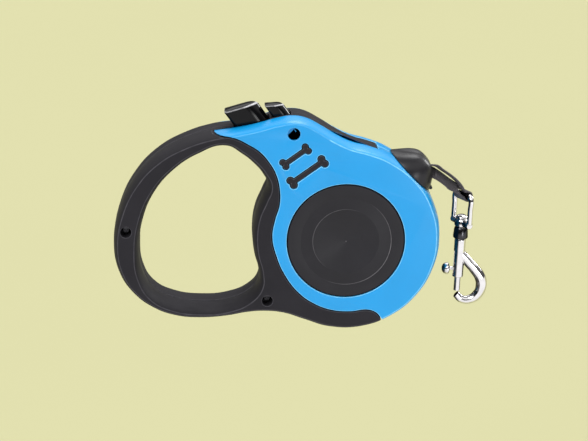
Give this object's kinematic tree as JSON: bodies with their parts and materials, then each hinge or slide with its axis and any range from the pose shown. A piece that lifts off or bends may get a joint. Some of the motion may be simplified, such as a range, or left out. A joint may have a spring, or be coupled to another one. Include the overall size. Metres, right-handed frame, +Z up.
{
  "type": "retractable leash",
  "caption": "Retractable dog leash: round two-shell case with a D handle, brake and lock buttons, sprung tape reel with ratchet, and a chromed swivel hook at the end of a webbing tape.",
  "frame": {"origin": "middle of the grip, the handle's left bar, in the plane where the two shells part", "axes": "+X from the grip through the reel axis towards the nozzle and hook, +Z up, -Y out of the front face"},
  "size_m": [0.1827, 0.03, 0.1116],
  "materials": {
    "cover_blue": "satin",
    "black_plastic": "satin",
    "black_gloss": "gloss",
    "reel_plastic": "satin",
    "spring_steel": "satin",
    "screw_steel": "satin",
    "tape_webbing": "matte",
    "hook_chrome": "polished"
  },
  "bodies": {
    "case": {"front_shell": "black_plastic", "rear_shell": "black_plastic", "front_cover": "cover_blue", "rear_cover": "cover_blue", "front_disc": "black_plastic", "rear_disc": "black_plastic", "nozzle": "black_plastic", "axle": "spring_steel", "mainspring": "spring_steel", "brake_spring": "spring_steel", "lock_spring": "spring_steel", "case_screw_1": "screw_steel", "case_screw_2": "screw_steel", "case_screw_3": "screw_steel", "case_screw_4": "screw_steel", "case_screw_5": "screw_steel"},
    "reel": {"spool": "reel_plastic", "spool_flange": "reel_plastic", "spring_lid": "reel_plastic", "tape_winding": "tape_webbing"},
    "brake": {"brake_button": "black_gloss", "brake_pawl": "spring_steel"},
    "lock": {"lock_button": "black_gloss"},
    "tape": {"tape_lead": "tape_webbing"},
    "eye": {"hook_eye": "hook_chrome"},
    "snap": {"hook_body": "hook_chrome", "hook_spring": "spring_steel"},
    "bolt": {"hook_bolt": "hook_chrome"}
  },
  "joints": [
    {"name": "reel_spin", "type": "hinge", "parent": "case", "child": "reel", "pos_m": [0.105, 0, -0.005], "axis": [0, 1, 0], "range_deg": [0, 60], "stiffness_Nm_per_rad": 0.03, "springref_deg": -114.59, "deforming": ["mainspring"]},
    {"name": "tape_pull", "type": "slide", "parent": "case", "child": "tape", "axis": [1, 0, 0], "range_m": [0, 0.0325]},
    {"name": "brake_press", "type": "slide", "parent": "case", "child": "brake", "axis": [0.5807, 0, -0.8141], "range_m": [0, 0.004], "stiffness_N_per_m": 600, "springref_m": -0.004, "deforming": ["brake_spring"]},
    {"name": "lock_press", "type": "slide", "parent": "case", "child": "lock", "axis": [0.5807, 0, -0.8141], "range_m": [0, 0.0025], "stiffness_N_per_m": 500, "springref_m": -0.003, "deforming": ["lock_spring"]},
    {"name": "hook_swing", "type": "hinge", "parent": "tape", "child": "eye", "pos_m": [0.1632, 0, 0.0132], "axis": [0.4474, -0.8942, -0.018], "range_deg": [-4, 75]},
    {"name": "hook_swivel", "type": "hinge", "parent": "eye", "child": "snap", "pos_m": [0.1632, 0, 0.0132], "axis": [0.0401, 0, 0.9992], "continuous": true},
    {"name": "bolt_pull", "type": "slide", "parent": "snap", "child": "bolt", "axis": [0.0401, 0, 0.9992], "range_m": [0, 0.0055], "stiffness_N_per_m": 300, "springref_m": -0.004, "deforming": ["hook_spring"]}
  ],
  "couplings": [
    {"joint": "tape_pull", "follows": "reel_spin", "m_per_rad": 0.031}
  ]
}
